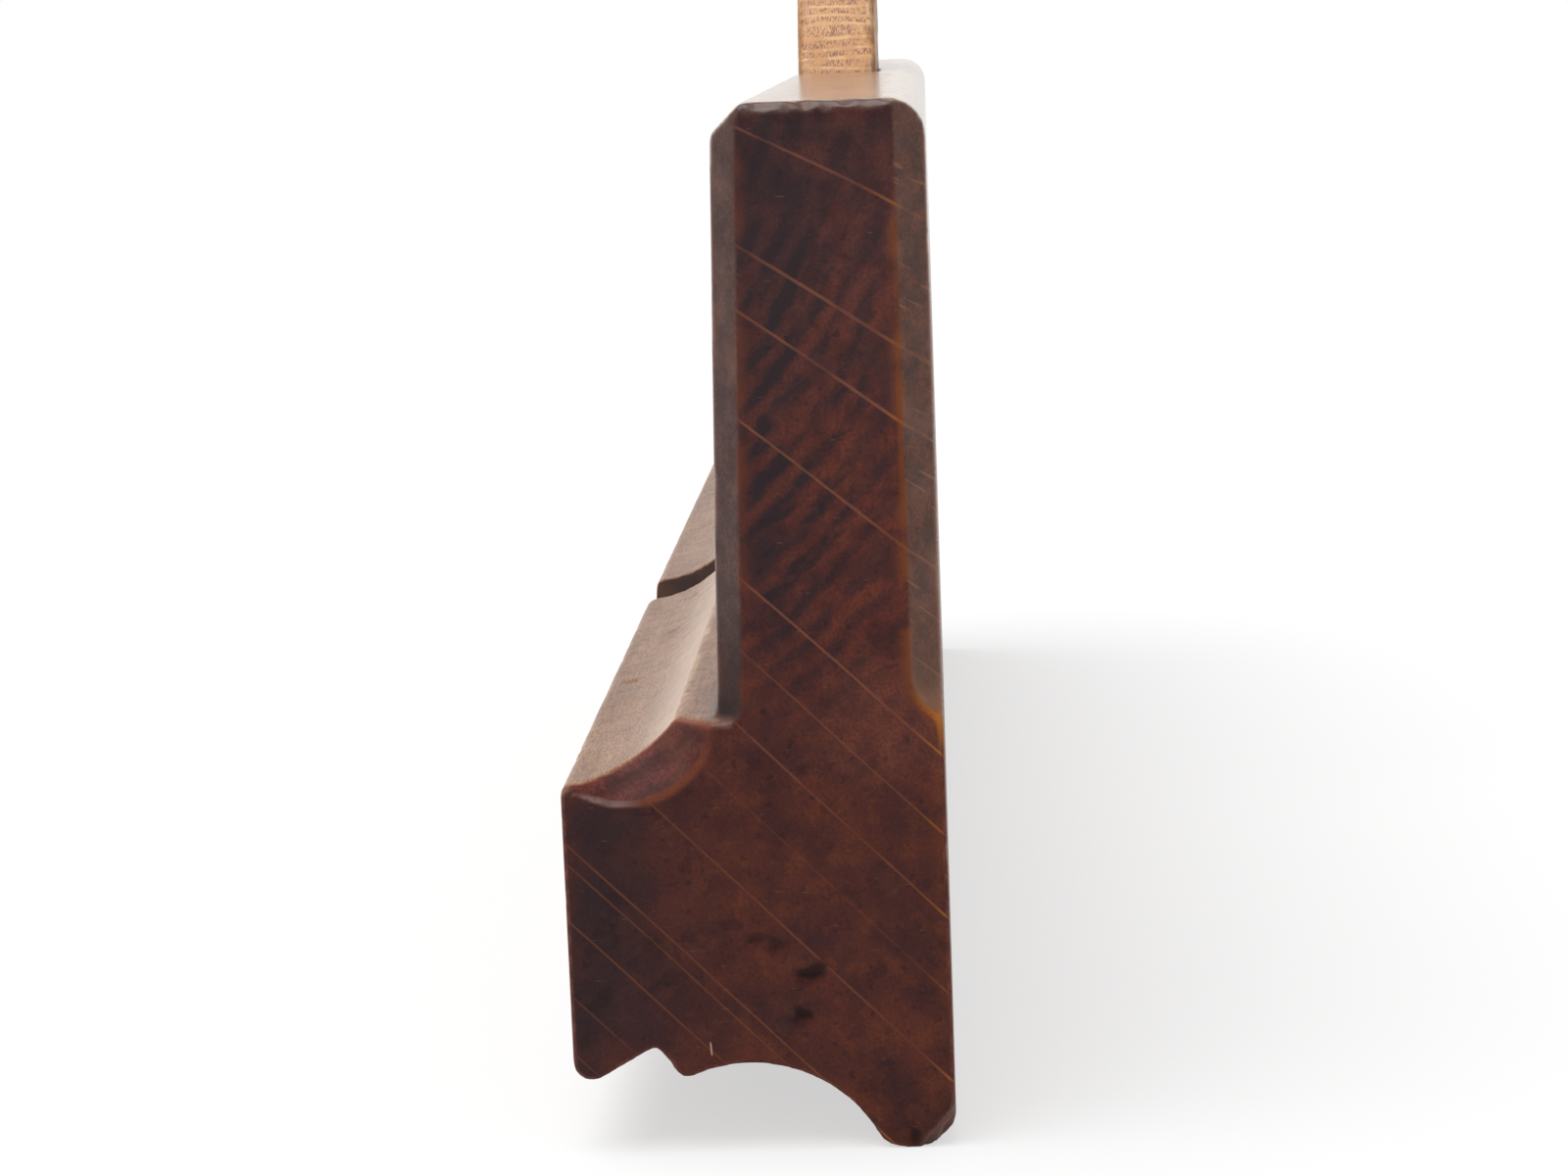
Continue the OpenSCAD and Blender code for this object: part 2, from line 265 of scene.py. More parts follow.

# The walls of the mortise and of the escapement face each other, and painted shade keeps them dark. A
# chip of the depth given here, in mm, takes its full colour.
THROAT_HALF = 70 * MM
THROAT_LOW = 8 * MM
THROAT_WIDTH = 25 * MM
CHIP_SHOWN = 0.15
near_throat = (np.abs(body.points[:, 1]) < THROAT_HALF) & (body.points[:, 2] > THROAT_LOW)
body.keep("inner", body.spread(body.faces_itself(THROAT_WIDTH, near_throat), 1))
body.keep("chip_and_sheen", body.spread(np.clip(chipped / CHIP_SHOWN, 0, 1), 1))
body.write()
thin_out(stock, STOCK_TRIANGLES)


class Shade:
    """A node's output in a material. Sums on it add Math nodes, and node() adds any other node."""

    def __init__(self, tree, socket=None):
        self.tree = tree
        self.socket = socket

    def node(self, kind, settings=None, inputs=None, output=0):
        made = self.tree.nodes.new("ShaderNode" + kind)
        for name, value in (settings or {}).items():
            setattr(made, name, value)
        for name, value in (inputs or {}).items():
            if isinstance(value, Shade):
                self.tree.links.new(value.socket, made.inputs[name])
            else:
                made.inputs[name].default_value = value
        if isinstance(output, tuple):
            return [Shade(self.tree, made.outputs[each]) for each in output]
        return Shade(self.tree, made.outputs[output])

    def sum(self, operation, first, second=0.0):
        return self.node("Math", {"operation": operation}, {0: first, 1: second})

    def __add__(self, other):
        return self.sum("ADD", self, other)

    def __sub__(self, other):
        return self.sum("SUBTRACT", self, other)

    def __rsub__(self, other):
        return self.sum("SUBTRACT", other, self)

    def __mul__(self, other):
        return self.sum("MULTIPLY", self, other)

    def __truediv__(self, other):
        return self.sum("DIVIDE", self, other)

    def __pow__(self, other):
        return self.sum("POWER", self, other)

    __radd__ = __add__
    __rmul__ = __mul__

    def __abs__(self):
        return self.sum("ABSOLUTE", self)

    def least(self, other):
        return self.sum("MINIMUM", self, other)

    def most(self, other):
        return self.sum("MAXIMUM", self, other)

    def wave(self):
        """From 0 up to 1 and back for each whole step of the value."""
        return 0.5 + 0.5 * self.sum("SINE", self * (2 * math.pi))

    def rise(self, low, high):
        """From 0 to 1 as the value goes from low to high."""
        return self.node(
            "MapRange",
            {"interpolation_type": "SMOOTHSTEP"},
            {"Value": self, "From Min": low, "From Max": high},
        )

    def fall(self, low, high):
        """From 1 to 0 as the value goes from low to high."""
        return 1.0 - self.rise(low, high)

    def band(self, low, in_low, in_high, high):
        """From 0 to 1 as the value goes from low to in_low, and back to 0 from in_high to high."""
        return self.rise(low, in_low) * self.fall(in_high, high)

    def mix(self, first, second):
        """The first colour where this value is 0, and the second where it is 1."""
        return self.node("Mix", {"data_type": "RGBA"}, {0: self, 6: first, 7: second}, output=2)

    def noise(self, place, size, detail=2.0):
        """Uneven values around 0.5, in spots of about the given size."""
        settings = {"Vector": place, "Scale": 1 / size, "Detail": detail}
        return self.node("TexNoise", inputs=settings, output="Fac")

    def grain(self, *spans, detail=2.0):
        """Uneven values around 0.5, in spots with a size of their own along each direction."""
        return self.noise(self.vector(*[along / size for along, size in spans]), 1.0, detail)

    def vector(self, x, y, z):
        return self.node("CombineXYZ", inputs={0: x, 1: y, 2: z})

    def split(self, vector):
        return self.node("SeparateXYZ", inputs={0: vector}, output=("X", "Y", "Z"))

    def place(self):
        """Where a point lies on the object, in mm."""
        here = self.node("TexCoord", output="Object")
        return self.node("VectorMath", {"operation": "SCALE"}, {0: here, "Scale": 1 / MM})

    def kept(self, name):
        """A value that was stored for each point of the mesh."""
        return self.node("Attribute", {"attribute_name": name}, output="Fac")


def paint(code):
    """A colour as a shader takes it, from a code such as #a07850."""
    levels = [int(code[i : i + 2], 16) / 255 for i in (1, 3, 5)]
    return (*[((v + 0.055) / 1.055) ** 2.4 if v > 0.04045 else v / 12.92 for v in levels], 1.0)


def finish_of(piece, name):
    """A new material on a piece: its shader, and the start of its nodes."""
    material = bpy.data.materials.new(name)
    material.use_nodes = True
    piece.data.materials.clear()
    piece.data.materials.append(material)
    return material.node_tree.nodes["Principled BSDF"], Shade(material.node_tree)


def dress(shader, start, height, depth, **varying):
    """Links what varies over a surface to its shader, and raises the surface by a height."""
    for socket, value in varying.items():
        start.tree.links.new(value.socket, shader.inputs[socket.replace("_", " ")])
    bump = start.node("Bump", inputs={"Height": height, "Distance": depth, "Strength": 1.0})
    start.tree.links.new(bump.socket, shader.inputs["Normal"])


# Rays on the toe, each as the height in mm at which it crosses the middle of the plane, and how
# plain it is. They run down to the right, and those further up lie flatter.
RAYS = (
    (87.3, 0.6),
    (77.6, 1.0),
    (72.2, 0.9),
    (63.0, 0.9),
    (49.3, 0.8),
    (43.0, 0.6),
    (36.2, 0.9),
    (29.6, 0.35),
    (22.0, 1.0),
    (11.5, 0.8),
    (9.8, 0.6),
    (4.7, 0.7),
    (-1.9, 0.5),
    (-7.0, 0.5),
)
RAY_WIDTH = 0.22
RAY_STEP = 0.3
RAY_BENDS_FROM = 30.0
RAY_BENDS_OVER = 57.0
RAY_FLATTENS = 0.49

# Growth rings lie around the pith, which was well outside the stock, above the open side.
PITH = (-48.0, 109.0)
RING = 2.3

# The open face of the grip, where it meets the ledge, and how far it leans for each mm of height.
GRIP_X = -2.87
GRIP_LEAN = 0.0272
LEDGE_Z = 37.5

shader, start = finish_of(stock, "oiled_beech")
place = start.place()
x, y, z = start.split(place)
facing_x, facing_y, facing_z = start.split(start.node("TexCoord", output="Normal"))
slanted = abs(facing_y).rise(0.25, 0.6)
square = abs(facing_y).rise(0.8, 0.97)
at_ends = abs(y).rise(100.0, 108.0)
inside_shade = slanted * (1.0 - at_ends)
handled = z.rise(66.0, 82.0)
wear, glow, corner_shade = start.kept("wear"), start.kept("glow"), start.kept("corner_shade")
bruise, chip_and_sheen = start.kept("bruise"), start.kept("chip_and_sheen")
past_grip = (x - GRIP_X - (z - LEDGE_Z) * GRIP_LEAN).rise(0.3, 0.6)
past_lip = x.rise(-15.8, -15.4) * z.fall(27.0, 28.5)
# Painted shade: the walls of the escapement behind the grip and the lip are darkened as if in shade.
recess_shade = past_grip.most(past_lip) * x.fall(11.0, 12.0) * z.band(14.0, 16.0, 80.0, 84.0)
inside_shade = inside_shade.most(start.kept("inner")).most(recess_shade * (1.0 - at_ends))

across, below = x - PITH[0], z - PITH[1]
ring_place = (across * across + below * below) ** 0.5
lean = z + x * 0.85
for _ in range(2):
    bent = ((lean - RAY_BENDS_FROM).most(0.0) / RAY_BENDS_OVER) ** 2.0
    lean = z + x * (1.0 - bent * RAY_FLATTENS)
lean = lean + (start.noise(place, 30.0) - 0.5) * 0.8
ray = 0.3 + 0.7 * start.noise(place, 5.0).rise(0.25, 0.6)
crossed = lean * 0.0
lines = None
for height, plain in RAYS:
    line = (1.0 - abs(lean - height) / RAY_WIDTH).most(0.0) * plain
    lines = line if lines is None else lines.most(line)
    crossed = crossed + (lean - height).rise(-0.1, 0.1) * RAY_STEP
ray = ray * lines.rise(0.0, 0.7)

# End grain: dark soaked rings between redder ones in the upper half, and mottled red-brown below.
grit = start.noise(place, 0.3, 3.0)
blotch = start.noise(place, 5.0, 4.0)
mottle = start.noise(place, 1.6, 4.0)
stripe = (ring_place / RING + crossed + (start.noise(place, 6.0) - 0.5) * 1.1).wave()
stripe = (stripe + (grit - 0.5) * 0.7 + (mottle - 0.5) * 1.5).rise(-0.15, 1.0)
gathered = start.grain((ring_place, 3.0), (lean, 7.0), (y, 40.0)).rise(0.22, 0.52)
broken = start.grain((ring_place, 1.2), (lean, 3.5), (y, 40.0)).rise(0.3, 0.55)
upper = z.rise(28.0, 46.0)
soaked = stripe * gathered * (0.45 + 0.55 * broken) * upper * (1.0 - 0.6 * glow)
soaked = soaked * (0.7 + 0.3 * z.rise(44.0, 54.0))
pooled = start.noise(place, 8.0, 3.0).rise(0.54, 0.68) * upper
soaked = soaked.most(blotch.rise(0.5, 0.78) * 0.5).most(pooled * (0.7 + 0.5 * (mottle - 0.5)))
clouded = z.rise(68.0, 84.0) * 0.75
cloud = 0.35 + 0.65 * start.noise(place, 4.0, 3.0).rise(0.28, 0.6)
soaked = soaked * (1.0 - clouded) + clouded * cloud
dirt = 0.18 + 0.17 * z.rise(60.0, 68.0) - 0.27 * z.rise(76.0, 82.0)
thumbed = 0.2 * x.rise(3.0, 10.0) * z.rise(43.0, 50.0)
soaked = soaked + upper * dirt * x.fall(2.0, 9.0) - thumbed
left_side = x.fall(-16.0, 1.0) * (0.72 + 0.6 * (mottle - 0.5) + 0.8 * (blotch - 0.5))
soaked = soaked.most(left_side * (1.0 - upper)).most(0.0).least(1.0)
end_color = blotch.rise(0.3, 0.62).mix(paint("#5a2d23"), paint("#482521"))
ruddy = z.rise(60.0, 80.0).mix(paint("#6b342b"), paint("#663a37"))
end_color = (upper * mottle.rise(0.3, 0.6) * 0.6).mix(end_color, ruddy)
end_color = (mottle.rise(0.5, 0.68) * 0.4).mix(end_color, paint("#6a3822"))
warm = x.rise(4.0, 10.0) * z.band(29.0, 36.0, 39.0, 45.0)
end_color = (warm * (0.1 + 0.35 * mottle)).mix(end_color, paint("#824a3c"))
end_color = (soaked * 0.9).mix(end_color, paint("#262026"))
speck = start.noise(place, 0.9, 2.0).rise(0.6, 0.72)
end_color = (speck * 0.45).mix(end_color, paint("#211618"))
spot = start.noise(place, 2.4, 3.0).rise(0.57, 0.68) * (1.0 - upper)
end_color = (spot * 0.4).mix(end_color, paint("#251819"))
end_color = (grit.rise(0.3, 0.75) * 0.4).mix(end_color, paint("#2a1b1b"))

# Chamfers and the bevel at the end of the cove: scraped end grain with a thinner stain.
chamfer_color = x.rise(-1.0, 12.0).mix(paint("#553b36"), paint("#653c2b"))
bevel_color = (ring_place / 1.9 + mottle).wave().mix(paint("#713c37"), paint("#532e2b"))
chamfer_color = z.rise(36.0, 39.0).mix(bevel_color, chamfer_color)
chamfer_color = (mottle.rise(0.35, 0.65) * (0.35 + 0.3 * upper)).mix(chamfer_color, paint("#3c2823"))
chamfer_color = (grit.rise(0.35, 0.65) * 0.45).mix(chamfer_color, paint("#2d1c1a"))
chamfer_color = (blotch.rise(0.5, 0.7) * 0.5).mix(chamfer_color, paint("#775143"))
# Painted shade: the foot of the left chamfer is darkened where it meets the ledge.
foot_shade = z.band(37.0, 39.0, 39.0, 50.0) * x.fall(3.0, 6.0)
chamfer_color = (foot_shade * 0.7).mix(chamfer_color, paint("#2b1f1e"))
scoured = x.rise(9.0, 11.0) * (0.1 * z.fall(40.0, 54.0) + 0.4 * z.fall(38.0, 42.0))
chamfer_color = (scoured * z.rise(36.0, 37.0)).mix(chamfer_color, paint("#956a4e"))
tick = start.grain((lean, 0.3), (ring_place, 4.0), (y, 9.0), detail=0.0).rise(0.7, 0.8)
chamfer_color = (tick * x.rise(9.0, 11.0) * 0.4).mix(chamfer_color, paint("#94643a"))
end_color = square.mix(chamfer_color, end_color)
ray_color = upper.mix(paint("#75432a"), paint("#84503c"))
# Near the right arris the rays turn orange: partly rubbed wood, partly a painted highlight.
ray_color = (glow * x.rise(2.0, 10.0)).mix(ray_color, paint("#b5702c"))
ray = ray * (square + x.rise(5.0, 11.0) * 0.5).least(1.0)
end_color = (ray * (0.55 + 0.05 * upper)).mix(end_color, ray_color)

# Short rays and fibres run along the stock, so its long faces show them as dark flecks and streaks.
long_place = start.vector(x, y / 5.0, z)
streak, patch = start.noise(long_place, 1.6, 4.0), start.noise(long_place, 5.0, 4.0)
fibre = start.noise(start.vector(x * 3.5, y * 0.1, z * 3.5), 1.0, 3.0)
fleck = start.grain((lean, 0.4), (y, 2.6), (ring_place, 4.0))
small_fleck = start.grain((lean, 0.17), (y, 0.9), (ring_place, 1.2))
flecked = (fleck.rise(0.51, 0.65) * 0.75).most(small_fleck.rise(0.53, 0.68))
stain = start.grain((x, 14.0), (y, 30.0), (z, 14.0), detail=4.0)
waver = start.grain((x, 20.0), (y, 60.0), (z, 20.0), detail=3.0)
late_wood = (ring_place / RING + (waver - 0.5) * 2.0).wave().rise(0.55, 1.0) * stain.rise(0.25, 0.6)
open_side = (0.0 - facing_x).rise(0.4, 0.85)
above_lip = open_side * z.band(32.0, 32.8, 37.3, 37.9)
broad = abs(facing_x).rise(0.75, 0.95) * (1.0 - above_lip)
held = start.grain((x, 30.0), (y, 55.0), (z, 30.0), detail=3.0).rise(0.38, 0.66)
blot = start.grain((x, 7.0), (y, 11.0), (z, 7.0), detail=4.0).rise(0.64, 0.72)
scratch = None
for slope, length in ((0.32, 14.0), (-0.12, 22.0)):
    strokes = start.vector((y * slope + z) / 0.2, (y - z * slope) / length, x / 9.0)
    stroke = start.noise(strokes, 1.0, 1.0).rise(0.68, 0.74)
    scratch = stroke if scratch is None else scratch.most(stroke)
# The pale band along the lip of the cove is partly rubbed wood and partly a painted highlight of the
# light falling there.
rubbed = open_side * z.band(32.4, 34.0, 37.4, 37.8)
sole = z.fall(10.0, 12.0) * abs(facing_x).fall(0.9, 0.98)
drag = start.grain((x, 0.35), (y, 60.0), (z, 0.35), detail=3.0)
side_color = stain.rise(0.3, 0.7).mix(paint("#a88064"), paint("#8d664b"))
side_color = (fibre.rise(0.35, 0.7) * 0.5).mix(side_color, paint("#b99273"))
side_color = (streak.rise(0.42, 0.68) * 0.55).mix(side_color, paint("#735039"))
side_color = (patch.rise(0.42, 0.68) * 0.4).mix(side_color, paint("#75523c"))
ledge = facing_z.rise(0.8, 0.95) * z.band(37.0, 37.3, 38.0, 39.0)
side_color = (ledge * 0.3).mix(side_color, paint("#6c4a32"))
cove = facing_z.rise(0.4, 0.7) * z.band(29.5, 30.5, 35.0, 37.0)
side_color = (cove * 0.3).mix(side_color, paint("#8c5e2c"))
side_color = (late_wood * 0.35).mix(side_color, paint("#6b4630"))
side_color = (broad * (0.35 + 0.3 * stain)).mix(side_color, paint("#7a4c2c"))
side_color = (broad * held * 0.5).mix(side_color, paint("#51331f"))
side_color = (broad * blot * 0.55).mix(side_color, paint("#3a2417"))
side_color = (sole * drag.rise(0.35, 0.65) * 0.7).mix(side_color, paint("#6e4a32"))
face_up = facing_z.rise(0.8, 0.95)
flecked = flecked * (1.0 - 0.4 * rubbed) * (1.0 - 0.7 * sole) * (1.0 - 0.4 * face_up)
flecked = flecked.most(cove * small_fleck.rise(0.47, 0.6) * 0.65)
side_color = (flecked * 0.85).mix(side_color, paint("#52301c"))
side_color = (scratch * broad * 0.5).mix(side_color, paint("#b98f6c"))
side_color = (rubbed * 0.75).mix(side_color, paint("#cdb4a0"))
bare = wear.rise(0.3, 1.0) * mottle.rise(0.3, 0.6) * abs(y).fall(114.0, 119.0)
side_color = (bare * 0.6).mix(side_color, paint("#c9a582"))
# Painted highlight: a pale cream along the top arrises, for the glare on them.
top_arris_highlight = z.rise(83.0, 88.0) * x.rise(9.0, 13.5).most(x.fall(0.0, 5.0))
side_color = (top_arris_highlight * streak.rise(0.25, 0.65) * 0.5).mix(side_color, paint("#dcc7aa"))
# Painted shade: a dark brown for the walls inside the mortise and the escapement.
inner_color = blotch.rise(0.35, 0.65).mix(paint("#352420"), paint("#4a3024"))
side_color = inside_shade.mix(side_color, inner_color)

# End grain and long grain meet at arrises that are rubbed redder. Where some of them catch the light,
# painted highlights stand in for it: pale on the rims of the gouge and the ledge, orange along the
# right arrises.
color = (slanted * at_ends).mix(side_color, end_color)
turned = slanted * (1.0 - slanted) * 4.0 * at_ends * z.band(29.5, 30.5, 38.0, 40.0)
color = (turned * 0.65).mix(color, paint("#854730"))
# Along the arrises the end grain is rubbed redder; the orange toward the right side is partly a
# painted highlight.
chafed = glow.rise(0.2, 1.0) * start.noise(place, 4.0, 4.0).rise(0.4, 0.62) * slanted * at_ends
chafed = chafed * (0.2 + 0.8 * upper) * z.fall(82.0, 86.0)
color = (chafed * 0.7).mix(color, x.rise(0.0, 10.0).mix(paint("#6a341f"), paint("#8a4a1c")))
toe = slanted * at_ends * y.fall(-112.0, -110.0)
rim = wear.rise(0.4, 0.9) * toe
gouged = toe * z.band(29.0, 29.8, 37.0, 38.0) * x.rise(-15.5, -15.0)
low_rim_highlight = wear.rise(0.26, 0.85) * gouged * x.fall(-11.5, -9.0) * z.fall(31.0, 32.0)
low_rim_highlight = low_rim_highlight * (1.0 - 0.3 * x.rise(-14.3, -12.8))
high_rim = wear.rise(0.15, 0.8) * gouged * x.band(-11.0, -9.0, -4.0, -2.5)
right_line = rim * x.rise(9.0, 10.5) * z.band(38.0, 44.0, 86.0, 88.0)
left_line = rim * x.fall(3.0, 5.0) * z.band(39.0, 44.0, 84.0, 87.0)
ledge_highlight = rim * x.fall(0.0, 1.5) * z.band(36.6, 37.2, 38.2, 39.0)
stop_rim = rim * x.rise(13.0, 14.5) * z.band(33.0, 36.0, 39.0, 44.0)
color = (high_rim * 0.6).mix(color, paint("#84482f"))
# The orange line along the right arris is partly a painted highlight.
color = (right_line * 0.65).mix(color, paint("#7e431b"))
color = (left_line * 0.5).mix(color, paint("#5a2a1c"))
# Painted highlight: a pinkish white on the rounded rims of the gouge and the ledge, where they catch
# the light.
painted_glint = low_rim_highlight.most(ledge_highlight * 0.15)
color = (painted_glint * mottle.rise(0.1, 0.45) * 0.85).mix(color, paint("#c39a94"))
# Partly a painted highlight: an orange glow on the rim of the right chamfer's stop.
color = (stop_rim * 0.7).mix(color, paint("#b06a24"))
# Painted shade: inner corners darkened nearly to black.
color = (corner_shade * 0.75).mix(color, paint("#1f1512"))
color = (bruise * (0.35 + 0.4 * square)).mix(color, paint("#1b1215"))
# Chipped facets are greyed: bare wood, with a painted sheen of the light they catch.
color = (chip_and_sheen * 0.55 * mottle.rise(0.3, 0.6)).mix(color, paint("#6d5b56"))

# Scuffs on the end grain, and a splinter at the sole that shows pale wood.
SPLINTER_X = -4.37
SPLINTER_Z = 9.1
SPLINTER_WIDTH = 0.11
scuff = start.grain((x, 1.2), (y, 5.0), (z, 0.16), detail=0.0).rise(0.78, 0.86) * square
color = (scuff * 0.25).mix(color, paint("#7d6a66"))
splinter = (1.0 - abs(x - SPLINTER_X + (z - SPLINTER_Z) * 0.07) / SPLINTER_WIDTH).most(0.0)
splinter = splinter * z.band(8.5, 8.8, 9.6, 9.9) * square * y.fall(-119.0, -118.0)
color = (splinter * 0.8).mix(color, paint("#c2a48e"))

# Varnish is thickest where hands held the stock, and mostly gone from the end grain.
roughness = 0.45 + (start.noise(place, 2.5, 4.0) - 0.5) * 0.3 + inside_shade * 0.3
bevelled = slanted * at_ends * (1.0 - square)
coat = 0.26 + 0.75 * handled * (1.0 - slanted) + bevelled * (z.rise(36.0, 39.0) * 0.42 - 0.25)
coat = coat + 0.2 * broad * held + 0.3 * sole * (1.0 - slanted)
coat = coat * (1.0 - square) + square * (0.06 + 0.12 * z.rise(40.0, 80.0))
coat = coat * (0.6 + 0.8 * start.noise(place, 2.0, 4.0)) + painted_glint * 0.4
coat = (coat * (1.0 - inside_shade * 0.8) * (1.0 - 0.75 * foot_shade * bevelled)).least(1.0)
height = fibre * 0.2 - flecked * 0.5 + ray * 0.4 * square
height = height + (grit + mottle) * 0.6 * slanted + streak * 0.9 * (1.0 - slanted)
dress(shader, start, height, 0.02 * MM, Base_Color=color, Roughness=roughness, Coat_Weight=coat)
shader.inputs["Specular IOR Level"].default_value = 0.06
shader.inputs["Coat Roughness"].default_value = 0.17
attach(stock, "stock")
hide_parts("stock")

# Iron: a forged blade of wrought iron with a long tapered tang, brown with old rust.
# It lies on the bed of the mortise, and the wedge holds it there.
IRON_FACE = 0.3 * MM
IRON_TRIANGLES = 30_000
HAMMERED_FROM = 50 * MM
HAMMER_DEPTHS = (0.04, 0.16)
iron = even_copy("forged_iron", "iron", IRON_FACE)
bar = Surface(iron)
round_arrises(bar, IRON_FACE, 4, seed=11)
hammered = bar.dent(60, (1.0, 2.2), HAMMER_DEPTHS, bar.points[:, 2] > HAMMERED_FROM, 43)
bar.keep("hammered", hammered / HAMMER_DEPTHS[1])
bar.write()
thin_out(iron, IRON_TRIANGLES)

shader, start = finish_of(iron, "rusted_iron")
place = start.place()
rust = start.noise(place, 5.0, 6.0)
scale = start.noise(place, 0.9, 4.0)
pit = start.noise(place, 0.35, 2.0).rise(0.58, 0.7)
wear, hammered = start.kept("wear"), start.kept("hammered")
rusted = rust.rise(0.4, 0.62)
color = rusted.mix(paint("#45403d"), paint("#5e3a26"))
color = (scale.rise(0.5, 0.7) * 0.7).mix(color, paint("#2b2624"))
color = (start.noise(place, 2.0, 5.0).rise(0.58, 0.7) * 0.6).mix(color, paint("#7c4a2a"))
color = (hammered * 0.4).mix(color, paint("#27201d"))
color = (wear.rise(0.4, 1.0) * 0.5).mix(color, paint("#83786f"))
roughness = 0.42 + 0.35 * rust + 0.2 * pit - 0.15 * wear
metallic = 1.0 - rusted * 0.8
height = scale * 0.6 - pit * 0.8
dress(shader, start, height, 0.08 * MM, Base_Color=color, Roughness=roughness, Metallic=metallic)
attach(iron, "iron")
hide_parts("iron")

# Steel face: the thin layer of tool steel that is forge-welded to the front of the blade.
# It is ground to the outline of the sole and honed, so it is the brightest metal on the plane.
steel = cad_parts["steel_face"]
shader, start = finish_of(steel, "ground_steel")
place = start.place()
x, y, z = start.split(place)
lines = start.noise(start.vector(x * 6.0, y * 0.4, z * 0.4), 1.0, 3.0)
stain = start.noise(place, 4.0, 4.0).rise(0.45, 0.7)
color = stain.mix(paint("#a3a4a6"), paint("#6b5f55"))
roughness = 0.25 + 0.2 * lines + 0.25 * stain
dress(shader, start, lines, 0.02 * MM, Base_Color=color, Roughness=roughness)
shader.inputs["Metallic"].default_value = 1.0

# Wedge: planed from paler beech, with a notched head that is tapped to free it.
# It is driven down between the iron and the breast of the mortise.
WEDGE_FACE = 0.35 * MM
WEDGE_TRIANGLES = 50_000
HEAD_FROM = 112 * MM
wedge = even_copy("beech_wedge", "wedge", WEDGE_FACE)
key = Surface(wedge)
round_arrises(key, WEDGE_FACE, 3, seed=7)
head = (key.normals[:, 2] > 0.5) & (key.points[:, 2] > HEAD_FROM)
key.keep("bruise", 3 * key.dent(16, (0.7, 1.8), (0.08, 0.3), head, 44))
key.write()
thin_out(wedge, WEDGE_TRIANGLES)

BREAST = math.radians(56.7)
ROW = 1.4
shader, start = finish_of(wedge, "pale_beech")
place = start.place()
x, y, z = start.split(place)
up = y * math.cos(BREAST) + z * math.sin(BREAST)
deep = z * math.cos(BREAST) - y * math.sin(BREAST)
facing_x, facing_y, facing_z = start.split(start.node("TexCoord", output="Normal"))
edge_on = abs(facing_x).rise(0.5, 0.85)
end_on = (facing_y * math.cos(BREAST) + facing_z * math.sin(BREAST)).rise(0.45, 0.9)
wear, glow, bruise = start.kept("wear"), start.kept("glow"), start.kept("bruise")

# Front and back: rows of short rays between the marks of the saw.
uneven = start.noise(start.vector(x * 0.08, up * 0.3, deep * 0.1), 1.0, 2.0)
row = (up / ROW + (uneven - 0.5) * 1.6).wave()
cluster = start.grain((x, 1.6), (up, 0.9), (deep, 8.0))
light_line = row.rise(0.7, 0.98) * cluster.rise(0.42, 0.62)
dash = start.grain((x, 0.16), (up, 0.5), (deep, 3.0), detail=1.5)
between_rows = 1.0 - 0.85 * row.rise(0.55, 0.95)
dashed = dash.rise(0.42, 0.62) * between_rows * (0.3 + 0.7 * cluster.rise(0.33, 0.55))
face_color = uneven.rise(0.3, 0.7).mix(paint("#d6a373"), paint("#cb9564"))
face_color = (light_line * 0.5).mix(face_color, paint("#ecc994"))
face_color = (dashed * 0.8).mix(face_color, paint("#80544c"))

# Sides: long grain that runs up the wedge, with fine flecks, and end grain on its bruised head.
waver = start.grain((x, 8.0), (up, 40.0), (deep, 8.0), detail=3.0)
late_wood = (deep / 2.4 + x * 0.15 + (waver - 0.5) * 3.0).wave().rise(0.5, 1.0)
fibre = start.grain((x, 0.5), (up, 14.0), (deep, 0.4), detail=3.0)
fleck = start.grain((x, 0.5), (up, 1.6), (deep, 0.2)).rise(0.56, 0.68)
side_color = fibre.rise(0.3, 0.7).mix(paint("#a87a4c"), paint("#ba8e60"))
side_color = (late_wood * 0.5).mix(side_color, paint("#8a5c36"))
side_color = (fleck * 0.65).mix(side_color, paint("#6b4228"))
soiled = start.noise(place, 9.0, 4.0).rise(0.4, 0.7)
side_color = (soiled * 0.45).mix(side_color, paint("#7a5132"))
head_color = start.noise(place, 0.5, 3.0).rise(0.35, 0.7).mix(paint("#97683c"), paint("#664024"))
color = edge_on.mix(face_color, side_color)
color = end_on.mix(color, head_color)
chafed = start.noise(place, 2.5).rise(0.4, 0.6)
color = (glow.rise(0.35, 1.0) * chafed * 0.6).mix(color, paint("#7d4a26"))
color = (bruise * 0.6).mix(color, paint("#52331f"))
# Painted highlight: pale glints along the right front arris of the wedge.
painted_glint = wear.rise(0.25, 0.8) * x.rise(8.5, 10.0) * (1.0 - end_on)
painted_glint = painted_glint * start.noise(start.vector(x, up / 1.2, deep), 1.0, 3.0).rise(0.42, 0.55)
color = (painted_glint * 0.75).mix(color, paint("#f0e2c8"))
roughness = 0.42 + 0.2 * dash + 0.15 * end_on
curl = start.noise(start.vector(x, up / 0.9, deep / 0.5), 1.0, 3.0)
coat = 0.3 * (1.0 - edge_on) + 0.3 * wear + edge_on * curl.rise(0.45, 0.65) * 0.6
coat = (coat * (1.0 - end_on * 0.6)).least(1.0)
height = fibre * 0.4 * edge_on - dash * (1.0 - edge_on) - fleck * 0.5 * edge_on
dress(shader, start, height, 0.03 * MM, Base_Color=color, Roughness=roughness, Coat_Weight=coat)
shader.inputs["Specular IOR Level"].default_value = 0.1
shader.inputs["Coat Roughness"].default_value = 0.2
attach(wedge, "wedge")
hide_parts("wedge")

